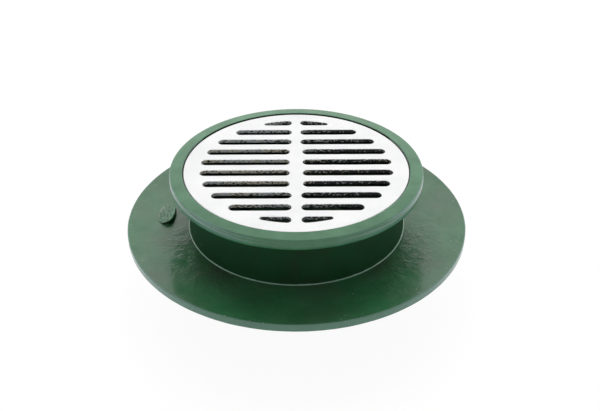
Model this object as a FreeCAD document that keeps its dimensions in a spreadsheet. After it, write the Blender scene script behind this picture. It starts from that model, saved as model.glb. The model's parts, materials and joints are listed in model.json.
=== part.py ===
"""Flat roof drain: a cast body with a membrane flange, and the slotted grate that lies in its rim.

Millimetres, +Z up. The origin is the centre of the outlet hub's lower end, on which the drain stands.
The slots run along X, and the stub of the casting riser stands on the flange at -X.
"""
import FreeCAD, Part
import math
import os

import Sketcher

SIZES = {
    # Grate, a flat plate that rests on the ledge inside the rim
    "grate_radius": 88.6,
    "grate_thickness": 3.2,
    "grate_clearance": 1.0,
    "grate_sunk": 0.8,
    "grate_edge_break": 0.5,
    # Slots: rows along X, cut by a web in the middle, their round ends on the circle of slot_reach
    "slot_pitch": 16.3,
    "slot_width": 8.3,
    "slot_reach": 76.0,
    "field_radius": 77.4,
    "web_width": 7.4,
    "wide_web_width": 10.4,
    "wide_web_half_span": 32.6,
    "slot_tip_round": 2.0,
    # Rim ring, whose top face falls a little towards the outside
    "rim_wall": 10.4,
    "rim_fall": 0.85,
    "rim_floor": 5.2,
    "rim_edge_break": 0.8,
    "recess_edge_break": 1.0,
    "rim_under_blend": 1.8,
    # Neck
    "ledge_width": 9.6,
    "neck_wall": 5.8,
    "neck_height": 41.3,
    "neck_draft": 2.0,
    "foot_blend": 1.2,
    # Membrane flange, whose outer edge stands higher than its foot
    "flange_width": 49.5,
    "flange_thickness": 6.2,
    "flange_dish": 3.8,
    "flange_edge_break": 0.7,
    # Riser stub on the flange, a little off the X axis, broken off at a slant that is lower outwards
    "stub_offset": 19.1,
    "stub_off_axis": 4.7,
    "stub_width": 15.2,
    "stub_length": 28.8,
    "stub_height": 4.4,
    "stub_low_height": 1.4,
    "stub_draft_angle": 10.0,
    "stub_edge_break": 0.5,
    # Bowl floor, and the outlet hub: its bore is the minor radius of a 4-inch pipe thread
    "outlet_radius": 55.04,
    "hub_wall": 8.0,
    "hub_length": 27.0,
    "hub_cone": 9.5,
    "throat_rise": 5.0,
    "bowl_floor": 10.0,
    "bead_stand": 3.5,
    "bead_height": 12.0,
    "bead_edge_break": 1.2,
    "mouth_break": 2.0,
}

# Radii, and heights above the hub's lower end, that follow from the sizes
FOLLOWING = {
    "recess_radius": "grate_radius + grate_clearance",
    "rim_radius": "recess_radius + rim_wall",
    "bore_radius": "grate_radius - ledge_width",
    "neck_radius": "bore_radius + neck_wall",
    "foot_radius": "neck_radius + neck_draft",
    "flange_radius": "foot_radius + flange_width",
    "hub_radius": "outlet_radius + hub_wall",
    "bead_radius": "hub_radius + bead_stand",
    "throat_level": "hub_length + throat_rise",
    "flange_under_level": "hub_length + hub_cone",
    "bowl_level": "flange_under_level + bowl_floor",
    "foot_level": "flange_under_level + flange_thickness",
    "flange_edge_under_level": "flange_under_level + flange_dish",
    "flange_edge_level": "foot_level + flange_dish",
    "rim_under_level": "foot_level + neck_height",
    "ledge_level": "rim_under_level + rim_floor",
    "rim_top_level": "ledge_level + grate_thickness + grate_sunk",
    "rim_edge_level": "rim_top_level - rim_fall",
    "stub_place": "foot_radius + stub_offset",
    "stub_root_level": "flange_under_level + (flange_thickness + flange_dish) / 2",
    "stub_inner_radius": "stub_place - stub_width / 2",
    "stub_outer_radius": "stub_place + stub_width / 2",
    "stub_ground_level": "foot_level + flange_dish * stub_offset / flange_width",
    "stub_top_level": "stub_ground_level + stub_height",
    "stub_low_level": "stub_ground_level + stub_low_height",
    "stub_clear_level": "stub_top_level + stub_height",
}

# Half section of the body, from the outlet's mouth up the inside and down the outside
BODY_SECTION = [
    ("outlet_radius", None),
    ("outlet_radius", "throat_level"),
    ("bore_radius", "bowl_level"),
    ("bore_radius", "ledge_level"),
    ("recess_radius", "ledge_level"),
    ("recess_radius", "rim_top_level"),
    ("rim_radius", "rim_edge_level"),
    ("rim_radius", "rim_under_level"),
    ("neck_radius", "rim_under_level"),
    ("foot_radius", "foot_level"),
    ("flange_radius", "flange_edge_level"),
    ("flange_radius", "flange_edge_under_level"),
    ("foot_radius", "flange_under_level"),
    ("hub_radius", "hub_length"),
    ("hub_radius", "bead_height"),
    ("bead_radius", "bead_height"),
    ("bead_radius", None),
]

# Side of what is broken off the riser, above the slant of the stub
BROKEN_OFF = [
    ("stub_outer_radius", "stub_low_level"),
    ("stub_inner_radius", "stub_top_level"),
    ("stub_inner_radius", "stub_clear_level"),
    ("stub_outer_radius", "stub_clear_level"),
]

# Each break or blend of the body and the corners of the section that it takes
BODY_BREAKS = {
    "rim_edge_break": [("rim_radius", "rim_edge_level"), ("rim_radius", "rim_under_level")],
    "recess_edge_break": [("recess_radius", "rim_top_level")],
    "rim_under_blend": [("neck_radius", "rim_under_level")],
    "foot_blend": [("foot_radius", "foot_level")],
    "flange_edge_break": [("flange_radius", "flange_edge_level"),
                          ("flange_radius", "flange_edge_under_level")],
    "bead_edge_break": [("bead_radius", "bead_height"), ("bead_radius", None)],
    "mouth_break": [("outlet_radius", None)],
}

SAME = 1e-4

doc = FreeCAD.newDocument("roof_drain")


def make_sheet():
    """Put the driving sizes in a sheet as plain numbers, and below them the values that follow from them."""
    sheet = doc.addObject("Spreadsheet::Sheet", "Sizes")
    cells = {name: str(number) for name, number in SIZES.items()}
    cells.update({name: "=" + formula for name, formula in FOLLOWING.items()})
    for row, (name, content) in enumerate(cells.items(), 1):
        sheet.set(f"A{row}", name)
        sheet.set(f"B{row}", content)
        sheet.setAlias(f"B{row}", name)
    doc.recompute()
    return sheet


SHEET = make_sheet()


def size(name):
    """Number held by one cell of the sheet; no name means zero."""
    return SHEET.get(name) if name else 0.0


def origin_plane(body, role):
    """One of the body's own origin planes."""
    return next(item for item in body.Origin.OriginFeatures if item.Role == role)


def plane_sketch(body, name, role):
    """Sketch on one of the body's own origin planes."""
    sketch = body.newObject("Sketcher::SketchObject", name)
    sketch.AttachmentSupport = [(origin_plane(body, role), "")]
    sketch.MapMode = "FlatFace"
    return sketch


def constrain(sketch, joins, dimensions):
    """Add a sketch's joins, and its dimensions as (kind, places, formula), each tied to its formula."""
    first = sketch.ConstraintCount + len(joins)
    numbers = [float(sketch.evalExpression(formula)) for _, _, formula in dimensions]
    sketch.addConstraint([Sketcher.Constraint(*join) for join in joins] + [
        Sketcher.Constraint(kind, *places, number) for (kind, places, _), number in zip(dimensions, numbers)])
    for index, (_, _, formula) in enumerate(dimensions, first):
        sketch.setExpression(f"Constraints[{index}]", formula)


def add_outline(sketch, corners):
    """Closed run of straight lines, each corner tied to the radius and height that name it."""
    points = [FreeCAD.Vector(size(radius), size(level), 0) for radius, level in corners]
    lines = [Part.LineSegment(start, end) for start, end in zip(points, points[1:] + points[:1])]
    numbers = sketch.addGeometry(lines)
    joins = [("Coincident", line, 2, after, 1) for line, after in zip(numbers, numbers[1:] + numbers[:1])]
    dimensions = []
    for line, (radius, level) in zip(numbers, corners):
        dimensions.append(("DistanceX", (line, 1), f"Sizes.{radius}"))
        if level:
            dimensions.append(("DistanceY", (line, 1), f"Sizes.{level}"))
        else:
            joins.append(("PointOnObject", line, 1, -1))
    constrain(sketch, joins, dimensions)


def add_circle(sketch, name):
    """Circle about the origin with the radius that the sheet gives it."""
    circle = sketch.addGeometry(Part.Circle(FreeCAD.Vector(), FreeCAD.Vector(0, 0, 1), size(name)))
    constrain(sketch, [("Coincident", circle, 3, -1, 1)], [("Radius", (circle,), f"Sizes.{name}")])


def add_slots(sketch, slots):
    """Slots along the sketch's X with round ends.

    Each slot is four formulas of the sheet: the centres of its two ends, its level and its half width.
    """
    joins = []
    dimensions = []
    for start, end, level, half_width in slots:
        formulas = (start, end, level, half_width)
        x_start, x_end, y, radius = (float(sketch.evalExpression(formula)) for formula in formulas)
        left = FreeCAD.Vector(x_start, y, 0)
        right = FreeCAD.Vector(x_end, y, 0)
        up = FreeCAD.Vector(0, radius, 0)
        out = FreeCAD.Vector(radius, 0, 0)
        lower, right_end, upper, left_end = sketch.addGeometry([
            Part.LineSegment(left - up, right - up),
            Part.Arc(right - up, right + out, right + up),
            Part.LineSegment(right + up, left + up),
            Part.Arc(left + up, left - out, left - up),
        ])
        for before, after in ((lower, right_end), (right_end, upper), (upper, left_end), (left_end, lower)):
            joins.append(("Tangent", before, 2, after, 1))
        for arc, place in ((left_end, start), (right_end, end)):
            dimensions.append(("DistanceX", (arc, 3), place))
            dimensions.append(("DistanceY", (arc, 3), level))
            dimensions.append(("Radius", (arc,), half_width))
    constrain(sketch, joins, dimensions)


def add_pad(body, name, sketch, length):
    """Pad a sketch upwards by a formula of the sheet."""
    pad = body.newObject("PartDesign::Pad", name)
    pad.Profile = sketch
    pad.setExpression("Length", length)
    doc.recompute()
    return pad


def add_break(body, name, base, edges):
    """Chamfer the given edges of a feature by the sheet's size of the same name."""
    feature = body.newObject("PartDesign::Chamfer", name)
    feature.Base = (base, edges)
    feature.setExpression("Size", f"Sizes.{name}")
    doc.recompute()
    return feature


def named_edges(shape, wanted):
    """Names of the edges of a shape that a test accepts."""
    return [f"Edge{number}" for number, edge in enumerate(shape.Edges, 1) if wanted(edge)]


def ring_edges(shape, corners):
    """Names of the circular edges that the section's corners leave when they are turned about Z."""
    places = [(size(radius), size(level)) for radius, level in corners]

    def on_a_ring(edge):
        curve = edge.Curve
        if not isinstance(curve, Part.Circle):
            return False
        return any(abs(curve.Radius - radius) < SAME and abs(curve.Center.z - level) < SAME
                   for radius, level in places)

    return named_edges(shape, on_a_ring)


def make_drain_body():
    """The casting: rim, neck, flange, bowl and hub turned in one section, its edges broken, and the stub."""
    body = doc.addObject("PartDesign::Body", "drain_body")
    section = plane_sketch(body, "wall_section", "XZ_Plane")
    add_outline(section, BODY_SECTION)
    feature = body.newObject("PartDesign::Revolution", "wall")
    feature.Profile = section
    feature.ReferenceAxis = (section, ["V_Axis"])
    doc.recompute()

    for name, corners in BODY_BREAKS.items():
        feature = add_break(body, name, feature, ring_edges(feature.Shape, corners))

    # The stub's outline is turned a quarter, so that it is long around the drain and narrow outwards
    outline = plane_sketch(body, "stub_outline", "XY_Plane")
    outline.AttachmentOffset.Rotation = FreeCAD.Rotation(FreeCAD.Vector(0, 0, 1), 90)
    outline.setExpression("AttachmentOffset.Base.z", "Sizes.stub_root_level")
    half_span = "(Sizes.stub_length - Sizes.stub_width) / 2"
    ends = [f"Sizes.stub_off_axis {sign} {half_span}" for sign in "-+"]
    add_slots(outline, [(*ends, "Sizes.stub_place", "Sizes.stub_width / 2")])
    stub = add_pad(body, "stub", outline, "Sizes.stub_top_level - Sizes.stub_root_level")
    stub.setExpression("TaperAngle", "-Sizes.stub_draft_angle")
    doc.recompute()

    # The stub stands at -X, so this sketch looks along +Y from behind
    side = plane_sketch(body, "broken_off", "XZ_Plane")
    side.AttachmentOffset.Rotation = FreeCAD.Rotation(FreeCAD.Vector(0, 1, 0), 180)
    add_outline(side, BROKEN_OFF)
    slant = body.newObject("PartDesign::Pocket", "stub_slant")
    slant.Profile = side
    slant.SideType = "Symmetric"
    slant.setExpression("Length", "Sizes.stub_length + 2 * Sizes.stub_off_axis")
    doc.recompute()

    def slant_level(x):
        rise = (size("stub_top_level") - size("stub_low_level")) / size("stub_width")
        return size("stub_low_level") + rise * (size("stub_outer_radius") + x)

    def on_slant(edge):
        return all(abs(vertex.Z - slant_level(vertex.X)) < SAME for vertex in edge.Vertexes)

    add_break(body, "stub_edge_break", slant, named_edges(slant.Shape, on_slant))
    return body


def quarter_slots():
    """The rows on one side of the middle and one side of the web, as formulas."""
    half_width = "Sizes.slot_width / 2"
    count = round(size("field_radius") / size("slot_pitch"))
    slots = []
    for step in range(count):
        level = f"Sizes.slot_pitch * {step + 0.5}"
        near_middle = (step + 0.5) * size("slot_pitch") < size("wide_web_half_span")
        web = "wide_web_width" if near_middle else "web_width"
        far = f"sqrt(Sizes.slot_reach ^ 2 - ({level}) ^ 2) - {half_width}"
        if step == count - 1:
            # The outermost row runs out past the slotted field, whose border then cuts it to a lens
            far = f"sqrt(Sizes.field_radius ^ 2 - ({level} - {half_width}) ^ 2)"
        slots.append((f"Sizes.{web} / 2 + {half_width}", far, level, half_width))
    return slots


def make_grate():
    """The plate: a slotted field with a plain border round it, lying on the ledge."""
    body = doc.addObject("PartDesign::Body", "grate")
    disc = plane_sketch(body, "field_disc", "XY_Plane")
    add_circle(disc, "field_radius")
    field = add_pad(body, "field", disc, "Sizes.grate_thickness")
    plain_volume = field.Shape.Volume

    outlines = plane_sketch(body, "slot_outlines", "XY_Plane")
    outlines.setExpression("AttachmentOffset.Base.z", "Sizes.grate_thickness")
    add_slots(outlines, quarter_slots())
    quarter = body.newObject("PartDesign::Pocket", "slots_of_a_quarter")
    quarter.Profile = outlines
    quarter.Type = "ThroughAll"
    doc.recompute()
    cut = plain_volume - quarter.Shape.Volume

    mirrors = []
    for role in ("YZ_Plane", "XZ_Plane"):
        mirror = body.newObject("PartDesign::Mirrored", "mirror_" + role[:2])
        mirror.MirrorPlane = (origin_plane(body, role), [""])
        mirrors.append(mirror)
    slots = body.newObject("PartDesign::MultiTransform", "slots")
    slots.BaseFeature = quarter
    slots.Originals = [quarter]
    slots.Transformations = mirrors
    body.Tip = slots
    doc.recompute()
    if cut < SAME or abs(plain_volume - slots.Shape.Volume - 4 * cut) > SAME * plain_volume:
        raise RuntimeError("the slots don't cut all four quarters of the grate")

    ring = plane_sketch(body, "border_ring", "XY_Plane")
    add_circle(ring, "field_radius")
    add_circle(ring, "grate_radius")
    border = add_pad(body, "border", ring, "Sizes.grate_thickness")

    def on_slot_tip(edge):
        if not isinstance(edge.Curve, Part.Line):
            return False
        middle = edge.CenterOfMass
        upright = abs(edge.Curve.Direction.z) > 1 - SAME
        return upright and abs(math.hypot(middle.x, middle.y) - size("field_radius")) < SAME

    tips = body.newObject("PartDesign::Fillet", "slot_tips")
    tips.Base = (border, named_edges(border.Shape, on_slot_tip))
    tips.setExpression("Radius", "Sizes.slot_tip_round")
    doc.recompute()
    outer_edge = ring_edges(tips.Shape, [("grate_radius", "grate_thickness")])
    add_break(body, "grate_edge_break", tips, outer_edge)
    body.setExpression("Placement.Base.z", "Sizes.ledge_level")
    return body


def check(parts):
    """Stop if any object of the document failed, or a sub-part isn't one valid solid."""
    doc.recompute()
    failed = [item.Label for item in doc.Objects if {"Invalid", "Error"} & set(item.State)]
    if failed:
        raise RuntimeError("failed: " + ", ".join(failed))
    for part in parts:
        shape = part.Shape
        if shape.isNull() or not shape.isValid() or len(shape.Solids) != 1:
            raise RuntimeError(part.Label + " isn't one valid solid")


parts = [make_drain_body(), make_grate()]
check(parts)
os.makedirs("parts", exist_ok=True)
for part in parts:
    part.Shape.exportStep(f"parts/{part.Label}.step")
    box = part.Shape.optimalBoundingBox()
    print(f"{part.Label}: {part.Shape.Volume / 1000:.1f} cm3, z {box.ZMin:.2f} to {box.ZMax:.2f}, "
          f"{box.XLength:.1f} x {box.YLength:.1f}")
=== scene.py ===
"""Looks of a flat roof drain: an enamelled casting, and the bright slotted grate that lies in its rim.

Metres, +Z up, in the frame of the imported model. The slots run along X, and the riser stub stands at -X.
"""

import json
import math

import bmesh
import bpy
import numpy as np
from mathutils import Matrix, Vector, geometry, noise


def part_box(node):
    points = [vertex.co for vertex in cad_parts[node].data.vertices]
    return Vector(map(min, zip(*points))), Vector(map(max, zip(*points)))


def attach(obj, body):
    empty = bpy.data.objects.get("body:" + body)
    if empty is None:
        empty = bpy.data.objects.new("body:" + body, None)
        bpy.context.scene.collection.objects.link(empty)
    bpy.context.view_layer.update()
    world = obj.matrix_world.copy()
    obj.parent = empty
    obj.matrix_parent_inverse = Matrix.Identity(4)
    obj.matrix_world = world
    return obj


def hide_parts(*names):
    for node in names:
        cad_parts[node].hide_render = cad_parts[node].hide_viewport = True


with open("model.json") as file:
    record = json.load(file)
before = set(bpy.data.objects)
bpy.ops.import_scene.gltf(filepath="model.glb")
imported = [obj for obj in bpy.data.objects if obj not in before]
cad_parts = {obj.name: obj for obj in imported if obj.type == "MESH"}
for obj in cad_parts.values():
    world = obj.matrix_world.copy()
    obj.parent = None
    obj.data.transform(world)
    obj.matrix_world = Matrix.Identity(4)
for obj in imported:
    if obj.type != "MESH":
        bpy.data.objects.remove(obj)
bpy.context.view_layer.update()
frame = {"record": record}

MM = 0.001

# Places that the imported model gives
body_low, body_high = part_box("drain_body")
grate_low, grate_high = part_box("grate")
FLANGE_RADIUS = body_high.x
GRATE_RADIUS = grate_high.x
LEDGE = grate_low.z
GRATE_TOP = grate_high.z
OUTLET = next(mount for mount in frame["record"]["mounts"] if mount["name"] == "outlet")
OUTLET_RADIUS = OUTLET["dims"]["r_mm"] * MM

# Walls of the casting
RECESS_RADIUS = GRATE_RADIUS + 1.0 * MM
RIM_RADIUS = RECESS_RADIUS + 10.4 * MM
BORE_RADIUS = GRATE_RADIUS - 9.6 * MM
NECK_RADIUS = BORE_RADIUS + 5.8 * MM
FOOT_RADIUS = NECK_RADIUS + 2.0 * MM
HUB_RADIUS = OUTLET_RADIUS + 8.0 * MM
BEAD_RADIUS = HUB_RADIUS + 3.5 * MM
MOUTH_CHAMFER = 2.0 * MM
RIM_TOP = GRATE_TOP + 0.8 * MM
RIM_EDGE = RIM_TOP - 0.85 * MM
RIM_UNDER = LEDGE - 5.2 * MM
FOOT = RIM_UNDER - 41.3 * MM
FLANGE_DISH = 3.8 * MM
FLANGE_THICKNESS = 6.2 * MM
FLANGE_UNDER = FOOT - FLANGE_THICKNESS
BOWL = FLANGE_UNDER + 10.0 * MM
HUB_TOP = FLANGE_UNDER - 9.5 * MM
THROAT = HUB_TOP + 5.0 * MM
BEAD_TOP = 12.0 * MM
NECK_ROUND = 2.0 * MM
FOOT_ROUND = 0.9 * MM

# Internal pipe thread of the outlet, its crests and roots cut flat by a share of its depth
THREAD_PITCH = 2.309 * MM
THREAD_DEPTH = 1.479 * MM
THREAD_START = MOUTH_CHAMFER
THREAD_END = HUB_TOP + 1.0 * MM
THREAD_FLAT = 0.15
THREAD_RUN_OUT = 1.5 * MM
ROWS_PER_TURN = 7

# How finely the casting is turned: around, along rounds, and along walls that show or lie hidden
SEGMENTS = 360
ARC_STEP = math.radians(18)
FINE = 2.0 * MM
COARSE = 6.0 * MM

# Cast relief of the walls: (size of the lumps, how far they stand out)
CAST_LUMPS = ((14.0 * MM, 0.09 * MM), (5.0 * MM, 0.04 * MM))
RIM_RELIEF_SHARE = 0.3

# Stub of the casting riser, an oval that is long around the drain, broken off lower outwards
STUB_X = -(FOOT_RADIUS + 19.1 * MM)
STUB_Y = 4.7 * MM
STUB_WIDTH = 14.3 * MM
STUB_LENGTH = 27.9 * MM
STUB_HEIGHT = 2.2 * MM
STUB_LOW = 0.5 * MM
STUB_SLANT = 0.27
STUB_FLARE = 0.4 * MM
STUB_INSET = 0.8 * MM
STUB_ROOT = 2.5 * MM
STUB_STEPS = 160
STUB_FULLNESS = 0.8
STUB_LUMPS = ((3.4 * MM, 0.32 * MM), (1.4 * MM, 0.26 * MM))
STUB_PIT_CELL = 1.9 * MM
STUB_PIT_DEPTH = 0.7 * MM
STUB_PIT_RADIUS = 0.45 * STUB_PIT_CELL
STUB_TOP_STEP = 0.45 * MM
STUB_TOP_REACH = 5.5 * MM

# Slots of the grate
SLOT_PITCH = 16.3 * MM
SLOT_WIDTH = 8.3 * MM
SLOT_REACH = 76.0 * MM
FIELD_RADIUS = 77.4 * MM
WEB_WIDTH = 7.4 * MM
WIDE_WEB_WIDTH = 10.4 * MM
WIDE_WEB_HALF_SPAN = 32.6 * MM
SLOT_TIP_ROUND = 2.0 * MM
SLOT_ROWS = 5
PLATE_EDGE = 0.45 * MM
PLATE_EDGE_STEPS = 3
PLATE_WALL_ROWS = 4
OUTLINE_STEP = 0.9 * MM
SAME_POINT = OUTLINE_STEP / 20
SLOT_WOBBLE = (7.0 * MM, 0.16 * MM)
SLOT_WALL_LUMPS = (1.6 * MM, 0.16 * MM)

# Colours of the enamel, as red, green, blue and opacity; two that alternate in patches are a pair
GLOSSY_GREENS = ((0.029, 0.158, 0.061, 1.0), (0.048, 0.224, 0.094, 1.0))
# Painted shade: darker greens for the low-gloss enamel of the neck and the stub's wall
DULL_SHADED_GREENS = ((0.008, 0.046, 0.017, 1.0), (0.016, 0.076, 0.030, 1.0))
# Painted shade: near-black greens for the bowl and the recess's far side
BOWL_PAINTED_SHADE_GREENS = ((0.006, 0.016, 0.010, 1.0), (0.018, 0.030, 0.020, 1.0))
# Painted light: pale greens that lighten the recess's walls beside the grate
RECESS_PAINTED_LIGHT_GREENS = ((0.16, 0.22, 0.19, 1.0), (0.26, 0.33, 0.29, 1.0))
DUST = (0.059, 0.084, 0.052, 1.0)
STAIN = (0.028, 0.038, 0.018, 1.0)
FLECK = (0.21, 0.32, 0.22, 1.0)
# Painted highlight: a paler green for a thin band along the foot of the neck
FOOT_PAINTED_HIGHLIGHT = (0.28, 0.48, 0.37, 1.0)
# Painted highlight: a pale cyan green on the rim's wall and the flange's edge at both sides
SIDE_PAINTED_HIGHLIGHT = (0.20, 0.36, 0.33, 1.0)
# Painted highlight: a pale colour along one edge of the stub's top
STUB_EDGE_PAINTED_HIGHLIGHT = (0.19, 0.23, 0.15, 1.0)

# Colours of the plate and of the casting skin in its slots
BRIGHT_METALS = ((0.81, 0.815, 0.82, 1.0), (0.88, 0.88, 0.88, 1.0))
GREY_AND_BEIGE_SKIN = ((0.72, 0.77, 0.79, 1.0), (0.97, 0.91, 0.73, 1.0))
DARK_GRAIN = (0.04, 0.045, 0.05, 1.0)
WHITE_GRAIN = (0.86, 0.90, 0.93, 1.0)
# Painted shade on the upper part of the slot walls that face +Y
SLOT_PAINTED_SHADE = (0.15, 0.14, 0.12, 1.0)

# Colours of the floor and the light
PALE_FLOOR = (0.84, 0.89, 0.91, 1.0)
SHADED_FLOOR = (0.08, 0.08, 0.08, 1.0)
WHITE = (1.0, 1.0, 1.0, 1.0)


def lump(point, lumps, seed=0.0):
    """Height of cast relief at a point: soft noise of each given size and height, added up."""
    shift = Vector((seed, seed, seed))
    return sum(height * noise.noise(point / size + shift) for size, height in lumps)


def arc_points(centre, radius, start, end, step):
    """Points along an arc, both ends included, with no turn between points above the given step."""
    count = max(2, math.ceil(abs(end - start) / step))
    angles = np.linspace(start, end, count + 1)
    return [Vector((centre[0] + radius * math.cos(a), centre[1] + radius * math.sin(a))) for a in angles]


def along(start, end, spacing):
    """Points between two ends, not the ends themselves, no further apart than the spacing."""
    count = max(1, math.ceil((end - start).length / spacing - 1e-6))
    return [start.lerp(end, step / count) for step in range(1, count)]


def corner_arc(before, corner, after, radius):
    """Points of the arc that rounds a corner between its two neighbours, or the corner alone."""
    if not radius:
        return [corner]
    to_before = (before - corner).normalized()
    to_after = (after - corner).normalized()
    half = to_before.angle(to_after) / 2
    reach = radius / math.tan(half)
    centre = corner + (to_before + to_after).normalized() * (radius / math.sin(half))
    first = corner + to_before * reach - centre
    last = corner + to_after * reach - centre
    start = math.atan2(first.y, first.x)
    sweep = math.remainder(math.atan2(last.y, last.x) - start, math.tau)
    return arc_points(centre, radius, start, start + sweep, ARC_STEP)


def casting_section():
    """Half section of the casting as points (radius, level), clockwise from the outlet's mouth."""
    thread_row = THREAD_PITCH / ROWS_PER_TURN
    flange_edge = FOOT + FLANGE_DISH
    # Radius, level, round of the corner, and the spacing of points along the wall that follows it
    corners = [
        (OUTLET_RADIUS + MOUTH_CHAMFER, 0.0, 0.0, COARSE),
        (OUTLET_RADIUS, MOUTH_CHAMFER, 0.0, thread_row),
        (OUTLET_RADIUS, THREAD_END, 0.0, COARSE),
        (OUTLET_RADIUS, THROAT, 2.0 * MM, COARSE),
        (BORE_RADIUS, BOWL, 5.0 * MM, COARSE),
        (BORE_RADIUS, LEDGE, 0.8 * MM, COARSE),
        (RECESS_RADIUS, LEDGE, 0.5 * MM, COARSE),
        (RECESS_RADIUS, RIM_TOP, 0.6 * MM, FINE),
        (RIM_RADIUS - 0.5 * MM, RIM_EDGE, 0.9 * MM, FINE),
        (RIM_RADIUS, RIM_UNDER + 4.2 * MM, 6.0 * MM, FINE),
        (RIM_RADIUS - 0.4 * MM, RIM_UNDER, 0.6 * MM, COARSE),
        (NECK_RADIUS, RIM_UNDER, NECK_ROUND, FINE),
        (FOOT_RADIUS, FOOT, FOOT_ROUND, FINE),
        (FLANGE_RADIUS, flange_edge, 0.8 * MM, FINE),
        (FLANGE_RADIUS, flange_edge - FLANGE_THICKNESS, 0.8 * MM, COARSE),
        (FOOT_RADIUS, FLANGE_UNDER, 5.0 * MM, COARSE),
        (HUB_RADIUS, HUB_TOP, 4.0 * MM, COARSE),
        (HUB_RADIUS, BEAD_TOP, 1.0 * MM, COARSE),
        (BEAD_RADIUS, BEAD_TOP, 1.2 * MM, COARSE),
        (BEAD_RADIUS, 0.0, 1.2 * MM, COARSE),
    ]
    places = [Vector(corner[:2]) for corner in corners]
    arcs = [corner_arc(places[i - 1], place, places[(i + 1) % len(places)], corners[i][2])
            for i, place in enumerate(places)]
    points = []
    for i, arc in enumerate(arcs):
        following = arcs[(i + 1) % len(arcs)]
        points += arc + along(arc[-1], following[0], corners[i][3])
    return np.array(points)


def thread_cut(levels, angles):
    """How deep the thread lies at each level and angle of the outlet's wall."""
    turn = levels[:, None] / THREAD_PITCH - angles[None, :] / math.tau
    ridge = np.abs(turn % 1.0 * 2.0 - 1.0)
    depth = THREAD_DEPTH * np.clip(ridge * (1 + 2 * THREAD_FLAT) - THREAD_FLAT, 0.0, 1.0)
    rise = np.clip((levels - THREAD_START) / THREAD_RUN_OUT, 0.0, 1.0)
    fall = np.clip((THREAD_END - levels) / THREAD_RUN_OUT, 0.0, 1.0)
    return depth * (rise * fall)[:, None]


def turned_casting():
    """Mesh of the casting turned about Z, with the thread in its outlet and cast relief on its walls."""
    section = casting_section()
    rows = len(section)
    radii, levels = section.T
    tangents = np.roll(section, -1, axis=0) - np.roll(section, 1, axis=0)
    normals = np.stack([-tangents[:, 1], tangents[:, 0]], axis=1)
    normals /= np.linalg.norm(normals, axis=1)[:, None]
    angles = np.arange(SEGMENTS) * math.tau / SEGMENTS
    in_outlet = (np.abs(radii - OUTLET_RADIUS) < 1e-6) & (levels < THREAD_END)
    ring_radii = radii[:, None] + thread_cut(levels, angles) * in_outlet[:, None]

    vertices = []
    for row in range(rows):
        share = 0.0 if levels[row] < MOUTH_CHAMFER or in_outlet[row] else 1.0
        if levels[row] > RIM_UNDER:
            share = RIM_RELIEF_SHARE
        for radius, angle in zip(ring_radii[row], angles):
            place = Vector((radius * math.cos(angle), radius * math.sin(angle), levels[row]))
            if share:
                height = share * lump(place, CAST_LUMPS)
                outwards = normals[row][0] * height
                upwards = normals[row][1] * height
                place += Vector((outwards * math.cos(angle), outwards * math.sin(angle), upwards))
            vertices.append(place)
    return finished_mesh("casting", vertices, ring_faces(rows, SEGMENTS, closed=True))


def ring_faces(rows, count, closed, first=0):
    """Quads between rings of the same number of points; closed also joins the last ring to the first."""
    faces = []
    for row in range(rows if closed else rows - 1):
        here = first + row * count
        there = first + (row + 1) % rows * count
        for step in range(count):
            after = (step + 1) % count
            faces.append((here + step, here + after, there + after, there + step))
    return faces


def finished_mesh(name, vertices, faces):
    """Mesh with its faces turned outwards and shaded smooth."""
    mesh = bpy.data.meshes.new(name)
    mesh.from_pydata(vertices, [], faces)
    work = bmesh.new()
    work.from_mesh(mesh)
    bmesh.ops.recalc_face_normals(work, faces=work.faces)
    work.to_mesh(mesh)
    work.free()
    mesh.shade_smooth()
    return mesh


def new_object(name, mesh):
    """Object of the scene that shows a mesh."""
    piece = bpy.data.objects.new(name, mesh)
    bpy.context.scene.collection.objects.link(piece)
    return piece


def flange_top(place):
    """Level of the flange's upper face at a place."""
    return FOOT + FLANGE_DISH * (place.xy.length - FOOT_RADIUS) / (FLANGE_RADIUS - FOOT_RADIUS)


def stub_ring(offset):
    """Oval of the stub's outline about its own middle, moved outwards by the offset."""
    half_width = STUB_WIDTH / 2 + offset
    half_length = STUB_LENGTH / 2 + offset
    angles = (np.arange(STUB_STEPS) + 0.5) * math.tau / STUB_STEPS
    across = np.sign(np.cos(angles)) * np.abs(np.cos(angles)) ** STUB_FULLNESS
    along_it = np.sign(np.sin(angles)) * np.abs(np.sin(angles)) ** STUB_FULLNESS
    return [Vector((half_width * x, half_length * y, 0.0)) for x, y in zip(across, along_it)]


def stub_pit(place):
    """Depth of the pits in the stub's broken top at a place."""
    nearest = noise.voronoi(place.xy.to_3d() / STUB_PIT_CELL)[0][0] * STUB_PIT_CELL
    return STUB_PIT_DEPTH * max(0.0, 1.0 - nearest / STUB_PIT_RADIUS)


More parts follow.
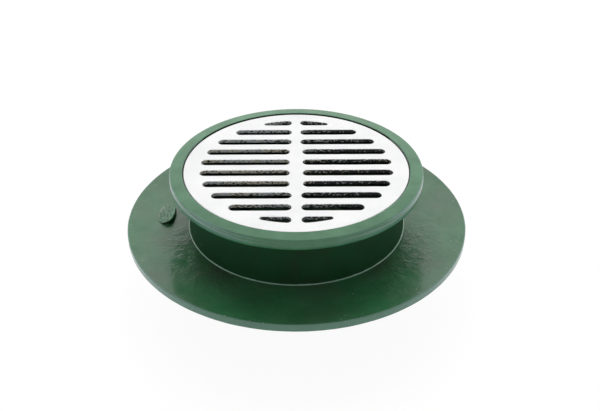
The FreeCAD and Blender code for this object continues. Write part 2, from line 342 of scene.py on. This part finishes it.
def stub_mesh():
    """The riser stub: flared foot, drafted wall, rounded edge and a broken, rough top."""
    middle = Vector((STUB_X, STUB_Y, 0.0))
    top = flange_top(middle) + STUB_HEIGHT
    # Offset of each ring from the outline, and its share of the stub's height
    outline = [(STUB_FLARE, -1.0), (STUB_FLARE, 0.0), (STUB_FLARE * 0.3, 0.06), (0.0, 0.2),
               (-STUB_INSET * 0.2, 0.5), (-STUB_INSET * 0.35, 0.75), (-STUB_INSET * 0.6, 0.93)]
    outline += [(-STUB_INSET - inwards, 1.0) for inwards in np.arange(0.0, STUB_TOP_REACH, STUB_TOP_STEP)]
    vertices = []
    for offset, share in outline:
        for step in stub_ring(offset):
            place = middle + step
            ground = flange_top(place)
            broken = max(ground + STUB_LOW, top + STUB_SLANT * step.x)
            broken += lump(place, STUB_LUMPS, seed=3.7)
            if offset < -STUB_INSET:
                broken -= stub_pit(place)
            place.z = ground + share * (broken - ground if share > 0 else STUB_ROOT)
            vertices.append(place)
    faces = ring_faces(len(outline), STUB_STEPS, closed=False)
    faces.append(tuple(range(STUB_STEPS)))
    faces.append(tuple(range(len(vertices) - STUB_STEPS, len(vertices))))
    return finished_mesh("stub", vertices, faces)


def make_casting():
    """The whole casting: the turned body with the riser stub fused on its flange."""
    casting = new_object("casting", turned_casting())
    stub = new_object("stub", stub_mesh())
    fuse = casting.modifiers.new("fuse_stub", "BOOLEAN")
    fuse.operation = "UNION"
    fuse.solver = "EXACT"
    fuse.object = stub
    fused = bpy.data.meshes.new_from_object(casting.evaluated_get(bpy.context.evaluated_depsgraph_get()))
    casting.modifiers.clear()
    casting.data = fused
    bpy.data.objects.remove(stub)
    fused.shade_smooth()
    casting.modifiers.new("flat_faces_stay_flat", "WEIGHTED_NORMAL")
    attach(casting, "root")
    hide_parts("drain_body")
    return casting


def circles_meet(centre_a, radius_a, centre_b, radius_b):
    """The meeting point of two circles that lies on the left of the way from the first to the second."""
    way = centre_b - centre_a
    distance = way.length
    reach = (radius_a ** 2 - radius_b ** 2 + distance ** 2) / (2 * distance)
    side = math.sqrt(radius_a ** 2 - reach ** 2)
    way.normalize()
    return centre_a + way * reach + Vector((-way.y, way.x)) * side


def slot_arcs(row):
    """Arcs (centre, radius, start, end) that bound one slot of the quarter +X +Y, anticlockwise."""
    half = SLOT_WIDTH / 2
    level = (row + 0.5) * SLOT_PITCH
    web = WIDE_WEB_WIDTH if level < WIDE_WEB_HALF_SPAN else WEB_WIDTH
    near = Vector((web / 2 + half, level))
    if row < SLOT_ROWS - 1:
        far = Vector((math.sqrt(SLOT_REACH ** 2 - level ** 2) - half, level))
        return [(far, half, -math.pi / 2, math.pi / 2), (near, half, math.pi / 2, 1.5 * math.pi)]
    # The border cuts the outermost slot to a lens, with a small round at both tips
    middle = Vector((0.0, 0.0))
    tip_orbit = FIELD_RADIUS - SLOT_TIP_ROUND
    tip_level = level - half + SLOT_TIP_ROUND
    tip = Vector((math.sqrt(tip_orbit ** 2 - tip_level ** 2), tip_level))
    corner = circles_meet(middle, tip_orbit, near, half - SLOT_TIP_ROUND)
    tip_angle = math.atan2(tip.y, tip.x)
    corner_angle = math.atan2(corner.y, corner.x)
    turn = math.atan2(corner.y - near.y, corner.x - near.x)
    return [
        (tip, SLOT_TIP_ROUND, -math.pi / 2, tip_angle),
        (middle, FIELD_RADIUS, tip_angle, corner_angle),
        (corner, SLOT_TIP_ROUND, corner_angle, turn),
        (near, half, turn, 1.5 * math.pi),
    ]


def arcs_outline(arcs):
    """Closed outline of arcs joined by straight stretches, as evenly spaced points."""
    pieces = [arc_points(centre, radius, start, end, OUTLINE_STEP / radius)
              for centre, radius, start, end in arcs]
    outline = []
    for piece, following in zip(pieces, pieces[1:] + pieces[:1]):
        outline += piece + along(piece[-1], following[0], OUTLINE_STEP)
    kept = []
    for point in outline:
        if not kept or (point - kept[-1]).length > SAME_POINT:
            kept.append(point)
    if (kept[0] - kept[-1]).length < SAME_POINT:
        kept.pop()
    return kept


def slot_outlines():
    """Outlines of all the slots, anticlockwise, each with the slight wobble of a cast edge."""
    outlines = []
    for row in range(SLOT_ROWS):
        quarter = arcs_outline(slot_arcs(row))
        for side_x, side_y in ((1, 1), (-1, 1), (-1, -1), (1, -1)):
            outline = [Vector((point.x * side_x, point.y * side_y)) for point in quarter]
            if side_x * side_y < 0:
                outline.reverse()
            outlines.append(moved_out(outline, [lump(point.to_3d(), (SLOT_WOBBLE,)) for point in outline]))
    return outlines


def moved_out(outline, distances):
    """Closed anticlockwise outline with each point moved outwards by its distance."""
    moved = []
    for i, point in enumerate(outline):
        way = outline[(i + 1) % len(outline)] - outline[i - 1]
        moved.append(point + Vector((way.y, -way.x)).normalized() * distances[i])
    return moved


def plate_levels():
    """Rings of a plate's wall from its top face to its bottom: (inset of the edge, level, roughness)."""
    turns = np.linspace(0.0, math.pi / 2, PLATE_EDGE_STEPS + 1)
    edge = [(PLATE_EDGE * (1 - math.sin(turn)), PLATE_EDGE * (1 - math.cos(turn))) for turn in turns]
    rings = [(inset, GRATE_TOP - drop, 0.0) for inset, drop in edge]
    for level in np.linspace(GRATE_TOP - PLATE_EDGE, LEDGE + PLATE_EDGE, PLATE_WALL_ROWS + 1)[1:-1]:
        rings.append((0.0, level, 1.0))
    rings += [(inset, LEDGE + drop, 0.0) for inset, drop in reversed(edge)]
    return rings


def inside(point, outline):
    """Whether a point lies inside a closed outline."""
    crossings = 0
    for a, b in zip(outline, outline[1:] + outline[:1]):
        if (a.y > point.y) != (b.y > point.y):
            crossings += point.x < a.x + (point.y - a.y) / (b.y - a.y) * (b.x - a.x)
    return crossings % 2 == 1


def face_triangles(outlines):
    """Triangles that fill the first outline and leave the others open, as indices of all their points."""
    points = [point / MM for outline in outlines for point in outline]
    owner = [number for number, outline in enumerate(outlines) for _ in outline]
    edges = []
    for outline in outlines:
        first = len(edges)
        edges += [(first + i, first + (i + 1) % len(outline)) for i in range(len(outline))]
    places, _, triangles, sources, _, _ = geometry.delaunay_2d_cdt(points, edges, [], 0, 1e-5)
    kept = []
    for triangle in triangles:
        indices = [sources[i][0] for i in triangle]
        owners = {owner[i] for i in indices}
        hole = owners.pop() if len(owners) == 1 else 0
        middle = sum((places[i] for i in triangle), Vector((0.0, 0.0))) / 3 * MM
        if not hole or not inside(middle, outlines[hole]):
            kept.append(indices)
    return kept


def make_grate():
    """The slotted plate: rounded edges, as-cast slot walls, and flat faces above and below."""
    border = arc_points((0.0, 0.0), GRATE_RADIUS, 0.0, math.tau, OUTLINE_STEP / GRATE_RADIUS)[:-1]
    outlines = [border] + slot_outlines()
    rings = plate_levels()
    vertices = []
    faces = []
    top_faces = []
    bottom_faces = []
    top_outlines = []
    for number, outline in enumerate(outlines):
        first = len(vertices)
        count = len(outline)
        sign = 1 if number else -1
        for inset, level, rough in rings:
            lumps = [sign * inset] * count
            if rough and number:
                lumps = [lump(Vector((p.x, p.y, level)), (SLOT_WALL_LUMPS,), seed=1.3) for p in outline]
            vertices += [Vector((p.x, p.y, level)) for p in moved_out(outline, lumps)]
        faces += ring_faces(len(rings), count, closed=False, first=first)
        top_faces += range(first, first + count)
        bottom_faces += range(len(vertices) - count, len(vertices))
        top_outlines.append([vertices[i].xy for i in range(first, first + count)])
    for triangle in face_triangles(top_outlines):
        faces.append([top_faces[i] for i in triangle])
        faces.append([bottom_faces[i] for i in triangle])
    grate = new_object("slotted_grate", finished_mesh("slotted_grate", vertices, faces))
    grate.modifiers.new("flat_faces_stay_flat", "WEIGHTED_NORMAL")
    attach(grate, "root")
    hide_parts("grate")
    return grate


def add_node(tree, kind, inputs=None, **settings):
    """Node with its settings, and its inputs linked to sockets or set to values."""
    node = tree.nodes.new(kind)
    for name, setting in settings.items():
        setattr(node, name, setting)
    for name, content in (inputs or {}).items():
        if isinstance(content, bpy.types.NodeSocket):
            tree.links.new(content, node.inputs[name])
        else:
            node.inputs[name].default_value = content
    return node


def calculate(tree, operation, a, b=0.0):
    """Result of a Math node."""
    return add_node(tree, "ShaderNodeMath", {0: a, 1: b}, operation=operation).outputs[0]


def product(tree, first, *others):
    """Numbers multiplied together."""
    result = first
    for other in others:
        result = calculate(tree, "MULTIPLY", result, other)
    return result


def vector_step(tree, operation, a, b=(0.0, 0.0, 0.0)):
    """Vector that a Vector Math node gives."""
    return add_node(tree, "ShaderNodeVectorMath", {0: a, 1: b}, operation=operation).outputs["Vector"]


def vector_number(tree, operation, a, b=(0.0, 0.0, 0.0)):
    """Number that a Vector Math node gives, such as a length."""
    return add_node(tree, "ShaderNodeVectorMath", {0: a, 1: b}, operation=operation).outputs["Value"]


def split(tree, vector):
    """Sockets X, Y and Z of a vector."""
    return add_node(tree, "ShaderNodeSeparateXYZ", {0: vector}).outputs


def noise_value(tree, place, scale, detail=2.0, roughness=0.5, distortion=0.0):
    """Noise from 0 to 1 at a place, with so many lumps to the metre."""
    inputs = {"Vector": place, "Scale": scale, "Detail": detail, "Roughness": roughness,
              "Distortion": distortion}
    return add_node(tree, "ShaderNodeTexNoise", inputs).outputs[0]


def remap(tree, number, low, high, to_low=0.0, to_high=1.0):
    """Number moved from one range to another and held inside it."""
    inputs = {"Value": number, "From Min": low, "From Max": high, "To Min": to_low, "To Max": to_high}
    return add_node(tree, "ShaderNodeMapRange", inputs).outputs[0]


def blend_colours(tree, share, first, second):
    """Colour between two others; a share of 1 is the second."""
    node = add_node(tree, "ShaderNodeMix", {0: share, 6: first, 7: second}, data_type="RGBA")
    return node.outputs[2]


def specks(tree, place, scale, radius, share):
    """1 in small round spots, in about the given share of cells, and 0 elsewhere."""
    cells = add_node(tree, "ShaderNodeTexVoronoi", {"Vector": place, "Scale": scale})
    chance = add_node(tree, "ShaderNodeSeparateColor", {0: cells.outputs["Color"]}).outputs[0]
    chosen = calculate(tree, "LESS_THAN", chance, share)
    spot = remap(tree, cells.outputs["Distance"], radius, radius * 0.5)
    return product(tree, spot, chosen)


def from_axis(tree, place):
    """Vector from the drain's axis to a place, and its length."""
    flat = vector_step(tree, "MULTIPLY", place, (1.0, 1.0, 0.0))
    return flat, vector_number(tree, "LENGTH", flat)


def surface_normal(tree):
    """Sockets X, Y and Z of the surface's normal."""
    return split(tree, add_node(tree, "ShaderNodeTexCoord").outputs["Normal"])


def empty_tree(owner):
    """Emptied node tree of a material or a world."""
    owner.use_nodes = True
    owner.node_tree.nodes.clear()
    return owner.node_tree


def new_material(name):
    """Material, its tree, the shader that it shows, and the place on the object."""
    material = bpy.data.materials.new(name)
    tree = empty_tree(material)
    shader = add_node(tree, "ShaderNodeBsdfPrincipled")
    add_node(tree, "ShaderNodeOutputMaterial", {"Surface": shader.outputs[0]})
    place = add_node(tree, "ShaderNodeTexCoord").outputs["Object"]
    return material, tree, shader, place


def link_surface(tree, shader, colour, rough, bump):
    """Link the shader's colour, roughness and relief."""
    tree.links.new(colour, shader.inputs["Base Color"])
    tree.links.new(rough, shader.inputs["Roughness"])
    tree.links.new(bump.outputs[0], shader.inputs["Normal"])


def paint_casting(casting):
    """Enamel the casting: low-gloss and darkened as painted shade on the neck and the stub's wall; painted
    shade in the bowl and at the recess's far side; paler as painted light on the recess's other walls;
    glossy elsewhere.
    """
    bowl = inner_enamel("bowl_enamel_painted_shade", *BOWL_PAINTED_SHADE_GREENS)
    inner_patches = inner_enamel("recess_painted_light", *RECESS_PAINTED_LIGHT_GREENS)
    for material in (enamel("green_enamel"), enamel("neck_enamel_painted_shade", dull_and_shaded=True), bowl, inner_patches):
        casting.data.materials.append(material)
    # Every face starts with the first of the four, the glossy enamel
    # Material 1 is low-gloss enamel darkened as painted shade, 2 is painted shade, and 3 is paler as
    # painted light
    dull_and_shaded, dark, painted_light_and_shade = 1, 2, 3
    stub = Vector((STUB_X, STUB_Y))
    over_stub = FOOT + 12.0 * MM
    margin = 0.1 * MM
    for face in casting.data.polygons:
        level = face.center.z
        radius = face.center.xy.length
        outwards = face.normal.xy.dot(face.center.xy) / radius
        between_rounds = FOOT + FOOT_ROUND - margin < level < RIM_UNDER - NECK_ROUND + margin
        on_neck = between_rounds and radius < FOOT_RADIUS and outwards > 0.5
        near_stub = (face.center.xy - stub).length < STUB_LENGTH / 2 + MM
        on_stub_wall = near_stub and FOOT < level < over_stub and face.normal.z < 0.6
        in_recess = level > LEDGE - margin and radius < RECESS_RADIUS + margin
        in_bowl = level > HUB_TOP and radius < BORE_RADIUS + 0.5 * MM
        faces_in = outwards < 0.1 and face.normal.z > -0.3
        # Painted shade: the neck under the rim and the stub's wall get the darker enamel
        if on_neck or on_stub_wall:
            face.material_index = dull_and_shaded
        # Painted light on the recess's walls except at the far side
        elif faces_in and in_recess and face.center.y < radius / 2:
            face.material_index = painted_light_and_shade
        # Painted shade at the recess's far side and in the bowl
        elif faces_in and (in_recess or in_bowl):
            face.material_index = dark


def about_stub(tree, place):
    """Step from the stub's middle to a place, in its half widths and half lengths, and its length."""
    step = vector_step(tree, "SUBTRACT", place, (STUB_X, STUB_Y, 0.0))
    step = vector_step(tree, "MULTIPLY", step, (2 / STUB_WIDTH, 2 / STUB_LENGTH, 0.0))
    return step, vector_number(tree, "LENGTH", step)


def above_flange(tree, place):
    """1 above the foot of the neck and 0 below the flange."""
    return remap(tree, split(tree, place)["Z"], FOOT - 1.0 * MM, FOOT)


def flange_face(tree, place):
    """1 where a face looks up at the flange's level or below it, and 0 elsewhere."""
    highest = FOOT + FLANGE_DISH
    facing_up = remap(tree, surface_normal(tree)["Z"], 0.3, 0.8)
    return product(tree, facing_up, remap(tree, split(tree, place)["Z"], highest + 1.0 * MM, highest))


def side_highlights(tree, place):
    """Share of a painted highlight: in streaks on the rim's wall, most at both sides, and on the flange's
    edge.
    """
    _, radius = from_axis(tree, place)
    apart = split(tree, place)
    sideways = calculate(tree, "ABSOLUTE", apart["X"])
    rim_wall = product(tree, remap(tree, apart["Z"], RIM_UNDER, RIM_UNDER + 2.0 * MM),
                       remap(tree, radius, RIM_RADIUS - 1.6 * MM, RIM_RADIUS - 0.8 * MM))
    at_sides = remap(tree, sideways, 25.0 * MM, 70.0 * MM, 0.05, 0.75)
    streaks = noise_value(tree, vector_step(tree, "MULTIPLY", place, (25.0, 25.0, 900.0)), 1.0)
    on_rim = product(tree, rim_wall, at_sides, remap(tree, streaks, 0.35, 0.6))
    on_lip = product(tree, remap(tree, radius, FLANGE_RADIUS - 1.0 * MM, FLANGE_RADIUS - 0.3 * MM),
                     remap(tree, sideways, 60.0 * MM, 110.0 * MM, 0.35, 0.6))
    return calculate(tree, "MAXIMUM", on_rim, on_lip)


def stub_edge_highlight(tree, place):
    """Share of a painted highlight along one edge of the stub's broken top."""
    step, distance = about_stub(tree, place)
    side = vector_number(tree, "DOT_PRODUCT", step, (-0.8, 0.6, 0.0))
    return product(tree, remap(tree, side, 0.2, 0.7), remap(tree, distance, 0.75, 0.9),
                   remap(tree, distance, 1.08, 1.0, 0.0, 0.6), above_flange(tree, place))


def glossy_colour(tree, place, mottle):
    """Colour of the glossy enamel: dusty on the flange, with painted highlights along the foot, on the
    rim's wall and the flange's edge at both sides, and on one edge of the stub.
    """
    _, radius = from_axis(tree, place)
    colour = blend_colours(tree, remap(tree, mottle, 0.3, 0.7), *GLOSSY_GREENS)
    near_foot = remap(tree, radius, FOOT_RADIUS + 30.0 * MM, FOOT_RADIUS, 0.6, 1.0)
    smudges = noise_value(tree, place, 28.0, detail=5.0, roughness=0.6)
    dust = product(tree, flange_face(tree, place), near_foot, remap(tree, smudges, 0.38, 0.66, 0.1, 0.85))
    colour = blend_colours(tree, dust, colour, DUST)
    # Painted highlight: a thin paler band along the foot of the neck
    off_foot = calculate(tree, "ABSOLUTE", calculate(tree, "SUBTRACT", radius, FOOT_RADIUS + 0.2 * MM))
    foot_highlight = remap(tree, off_foot, 0.7 * MM, 0.25 * MM, 0.0, 0.9)
    colour = blend_colours(tree, foot_highlight, colour, FOOT_PAINTED_HIGHLIGHT)
    # Painted highlight at both sides of the rim's wall and on the flange's edge
    colour = blend_colours(tree, side_highlights(tree, place), colour, SIDE_PAINTED_HIGHLIGHT)
    # Painted highlight along one edge of the stub's top
    return blend_colours(tree, stub_edge_highlight(tree, place), colour, STUB_EDGE_PAINTED_HIGHLIGHT)


def dull_shaded_colour(tree, place, mottle):
    """Colour of the low-gloss enamel: green darkened as painted shade, with brownish stains."""
    colour = blend_colours(tree, mottle, *DULL_SHADED_GREENS)
    stains = noise_value(tree, place, 38.0, detail=5.0, roughness=0.6)
    stains = remap(tree, stains, 0.5, 0.72, 0.0, 0.55)
    return blend_colours(tree, stains, colour, STAIN)


def brush_strokes(tree, place):
    """Height of brushed strokes that run outwards on the flange, highest beside the neck and in front."""
    strokes_round = 62.0
    strokes_out = 270.0
    flat, radius = from_axis(tree, place)
    around = vector_step(tree, "MULTIPLY", vector_step(tree, "NORMALIZE", flat), (strokes_round,) * 3)
    out = add_node(tree, "ShaderNodeCombineXYZ", {"Z": product(tree, radius, strokes_out)})
    strokes_at = vector_step(tree, "ADD", around, out.outputs[0])
    strokes = noise_value(tree, strokes_at, 1.0, detail=1.5, distortion=0.8)
    high = remap(tree, radius, FLANGE_RADIUS - 6.0 * MM, FOOT_RADIUS + 16.0 * MM, 0.06, 0.34)
    clumps = remap(tree, noise_value(tree, place, 110.0), 0.4, 0.6, 0.35, 1.0)
    in_front = remap(tree, split(tree, place)["Y"], 18.0 * MM, -22.0 * MM, 0.2, 1.0)
    return product(tree, strokes, high, flange_face(tree, place), clumps, in_front)


def enamel_relief(tree, place):
    """Height of the enamel's relief in millimetres: strokes, lumps, pimples and the stub's broken top."""
    _, from_stub = about_stub(tree, place)
    on_stub = product(tree, remap(tree, from_stub, 1.0, 0.9), above_flange(tree, place))
    height = brush_strokes(tree, place)
    relief = [
        (noise_value(tree, place, 110.0), 0.035),
        (noise_value(tree, place, 420.0, detail=1.0), 0.007),
        (specks(tree, place, scale=160.0, radius=0.16, share=0.08), 0.05),
        (product(tree, noise_value(tree, place, 700.0), on_stub), 0.6),
    ]
    for share, high in relief:
        height = calculate(tree, "ADD", height, product(tree, share, high))
    return height


def enamel(name, dull_and_shaded=False):
    """Green enamel on the casting, with pale flecks: glossy, or low-gloss and darkened as painted shade for
    the neck and the stub's wall.
    """
    material, tree, shader, place = new_material(name)
    _, radius = from_axis(tree, place)
    mottle = noise_value(tree, place, 55.0, detail=4.0)
    # The low-gloss enamel's colour is darkened as painted shade
    colour = dull_shaded_colour(tree, place, mottle) if dull_and_shaded else glossy_colour(tree, place, mottle)
    at_edge = remap(tree, radius, FLANGE_RADIUS - 9.0 * MM, FLANGE_RADIUS - 1.0 * MM)
    chips = product(tree, specks(tree, place, scale=330.0, radius=0.22, share=0.26), at_edge)
    flecks = specks(tree, place, scale=150.0, radius=0.10, share=0.14)
    flecks = calculate(tree, "MAXIMUM", flecks, chips)
    colour = blend_colours(tree, product(tree, flecks, 0.8), colour, FLECK)

    height = enamel_relief(tree, place)
    bump = add_node(tree, "ShaderNodeBump", {"Height": height, "Strength": 1.0, "Distance": MM})
    lowest_rough = 0.5 if dull_and_shaded else 0.16
    rough = remap(tree, mottle, 0.3, 0.7, lowest_rough, lowest_rough + 0.08)
    rough = calculate(tree, "ADD", rough, product(tree, flecks, 0.3))
    link_surface(tree, shader, colour, rough, bump)
    tree.links.new(bump.outputs[0], shader.inputs["Coat Normal"])
    shader.inputs["Specular IOR Level"].default_value = 0.1 if dull_and_shaded else 0.5
    shader.inputs["Coat Weight"].default_value = 0.0 if dull_and_shaded else 0.24
    shader.inputs["Coat Roughness"].default_value = 0.05
    return material


def inner_enamel(name, low_colour, high_colour):
    """Enamel inside the drain, low-gloss and mottled in the given pair of colours: painted shade in the
    bowl and painted light in the recess.
    """
    material, tree, shader, place = new_material(name)
    inner_patches = noise_value(tree, place, 90.0, detail=5.0, roughness=0.6)
    colour = blend_colours(tree, remap(tree, inner_patches, 0.35, 0.65), low_colour, high_colour)
    bump = add_node(tree, "ShaderNodeBump", {"Height": inner_patches, "Strength": 0.5, "Distance": 0.2 * MM})
    link_surface(tree, shader, colour, remap(tree, inner_patches, 0.3, 0.7, 0.45, 0.7), bump)
    shader.inputs["Specular IOR Level"].default_value = 0.15
    return material


def slot_skin(tree, place):
    """Colour and grain of the casting skin in the slots: pale, with dark and white grains, and painted
    shade on the upper part of the walls that face +Y.
    """
    apart = split(tree, place)
    # Beige in patches, most beside the middle rows
    beside_middle = remap(tree, calculate(tree, "ABSOLUTE", apart["Y"]), 0.0, 50.0 * MM, 0.12, -0.12)
    patches = calculate(tree, "ADD", noise_value(tree, place, 40.0), beside_middle)
    colour = blend_colours(tree, remap(tree, patches, 0.46, 0.60), *GREY_AND_BEIGE_SKIN)
    # Dark grains are fewest in the middle of the slots at -X and grow away from it, and none of this is on
    # the plate's border
    from_lightest = vector_step(tree, "SUBTRACT", place, (-45.0 * MM, 8.0 * MM, 0.0))
    from_lightest = vector_step(tree, "MULTIPLY", from_lightest, (1 / (50.0 * MM), 1 / (85.0 * MM), 0.0))
    far_off = calculate(tree, "ADD", vector_number(tree, "LENGTH", from_lightest), patches)
    _, radius = from_axis(tree, place)
    off_border = remap(tree, radius, GRATE_RADIUS - 1.0 * MM, GRATE_RADIUS - 3.0 * MM)
    grain_darkening = product(tree, remap(tree, far_off, 0.8, 2.2, -0.03, 0.16), off_border)
    along_slots = vector_step(tree, "MULTIPLY", place, (0.6, 1.0, 1.0))
    grain = noise_value(tree, along_slots, 700.0, detail=3.0, roughness=0.65)
    grain = calculate(tree, "SUBTRACT", grain, grain_darkening)
    colour = blend_colours(tree, remap(tree, grain, 0.47, 0.42), colour, DARK_GRAIN)
    colour = blend_colours(tree, remap(tree, grain, 0.53, 0.60), colour, WHITE_GRAIN)
    # Painted shade: the upper part of the walls that face +Y is darkened
    painted_light_and_shade = product(tree, remap(tree, surface_normal(tree)["Y"], 0.1, 0.6),
                     remap(tree, apart["Z"], GRATE_TOP - 3.4 * MM, GRATE_TOP - 2.4 * MM, 0.0, 0.92))
    return blend_colours(tree, painted_light_and_shade, colour, SLOT_PAINTED_SHADE), grain


def plate():
    """Bright ground plate above, and rough casting skin in the slots and below."""
    material, tree, shader, place = new_material("bright_plate")
    skin = remap(tree, split(tree, place)["Z"], GRATE_TOP - 0.15 * MM, GRATE_TOP - 0.5 * MM)
    skin_colour, grain = slot_skin(tree, place)
    cloud = noise_value(tree, place, 30.0, detail=3.0)
    bright = blend_colours(tree, remap(tree, cloud, 0.3, 0.7), *BRIGHT_METALS)
    colour = blend_colours(tree, skin, bright, skin_colour)

    scratches = noise_value(tree, vector_step(tree, "MULTIPLY", place, (60.0, 1500.0, 1500.0)), 1.0)
    rough = remap(tree, scratches, 0.3, 0.7, 0.07, 0.14)
    rough = add_node(tree, "ShaderNodeMix", {0: skin, 2: rough, 3: 0.72}).outputs[0]
    metal = remap(tree, skin, 0.0, 1.0, 1.0, 0.0)
    height = calculate(tree, "ADD", product(tree, scratches, 0.06), product(tree, grain, skin, 2.5))
    bump = add_node(tree, "ShaderNodeBump", {"Height": height, "Strength": 1.0, "Distance": 0.1 * MM})
    link_surface(tree, shader, colour, rough, bump)
    tree.links.new(metal, shader.inputs["Metallic"])
    return material


def make_floor():
    """Pale floor, seen as white with the object's shadow on it, and dark inside the outlet."""
    half = 3.0
    corners = [(-half, -half, 0.0), (half, -half, 0.0), (half, half, 0.0), (-half, half, 0.0)]
    floor = new_object("floor", finished_mesh("floor", corners, [(0, 1, 2, 3)]))
    material = bpy.data.materials.new("pale_floor")
    tree = empty_tree(material)
    plain = add_node(tree, "ShaderNodeBsdfDiffuse", {"Color": PALE_FLOOR})
    shaded = add_node(tree, "ShaderNodeBsdfDiffuse", {"Color": SHADED_FLOOR})
    place = add_node(tree, "ShaderNodeTexCoord").outputs["Object"]
    radius = vector_number(tree, "LENGTH", place)
    strength = remap(tree, radius, OUTLET_RADIUS + MOUTH_CHAMFER, HUB_RADIUS, 0.0, 0.94)
    glow = add_node(tree, "ShaderNodeEmission", {"Color": WHITE, "Strength": strength})
    seen = add_node(tree, "ShaderNodeAddShader", {0: shaded.outputs[0], 1: glow.outputs[0]})
    ray = add_node(tree, "ShaderNodeLightPath")
    straight = calculate(tree, "ADD", ray.outputs["Is Camera Ray"], ray.outputs["Is Glossy Ray"])
    choice = add_node(tree, "ShaderNodeMixShader", {0: straight, 1: plain.outputs[0], 2: seen.outputs[0]})
    add_node(tree, "ShaderNodeOutputMaterial", {"Surface": choice.outputs[0]})
    floor.data.materials.append(material)


def make_world():
    """Studio light: a broad bright patch behind, a glow at both sides, and white where it is seen."""
    dim, bright, glow = 0.25, 5.5, 0.5
    height = math.radians(27)
    middle = (0.0, math.cos(height), math.sin(height))
    world = bpy.data.worlds.new("studio")
    bpy.context.scene.world = world
    tree = empty_tree(world)
    direction = add_node(tree, "ShaderNodeTexCoord").outputs["Generated"]
    nearness = vector_number(tree, "DOT_PRODUCT", direction, middle)
    strength = remap(tree, nearness, 0.76, 0.95, dim, bright)
    sideways = calculate(tree, "ABSOLUTE", split(tree, direction)["X"])
    sides = remap(tree, sideways, 0.55, 0.9, 0.0, glow)
    strength = calculate(tree, "ADD", strength, sides)
    sky = add_node(tree, "ShaderNodeBackground", {"Color": WHITE, "Strength": strength})
    white = add_node(tree, "ShaderNodeBackground", {"Color": WHITE, "Strength": 1.0})
    ray = add_node(tree, "ShaderNodeLightPath")
    seen = calculate(tree, "ADD", ray.outputs["Is Camera Ray"], ray.outputs["Is Glossy Ray"])
    seen = calculate(tree, "ADD", seen, ray.outputs["Is Transmission Ray"])
    choice = add_node(tree, "ShaderNodeMixShader", {0: seen, 1: sky.outputs[0], 2: white.outputs[0]})
    add_node(tree, "ShaderNodeOutputWorld", {"Surface": choice.outputs[0]})


def make_camera():
    """Camera at the photograph's viewing angle, aimed a little below the rim's centre."""
    distance = 0.7385
    elevation = math.radians(31.03)
    pitch_down = math.radians(33.37)
    roll = math.radians(-0.25)
    camera = bpy.data.cameras.new("camera")
    camera.sensor_width = 36.0
    camera.lens = 56.17
    camera.shift_x = 0.006
    holder = bpy.data.objects.new("camera", camera)
    holder.location = (0.0, -distance * math.cos(elevation), RIM_EDGE + distance * math.sin(elevation))
    turn = Matrix.Rotation(math.pi / 2 - pitch_down, 3, "X") @ Matrix.Rotation(roll, 3, "Z")
    holder.rotation_euler = turn.to_euler()
    bpy.context.scene.collection.objects.link(holder)
    bpy.context.scene.camera = holder


paint_casting(make_casting())
make_grate().data.materials.append(plate())
make_floor()
make_world()
make_camera()
bpy.context.scene.view_settings.view_transform = "Standard"
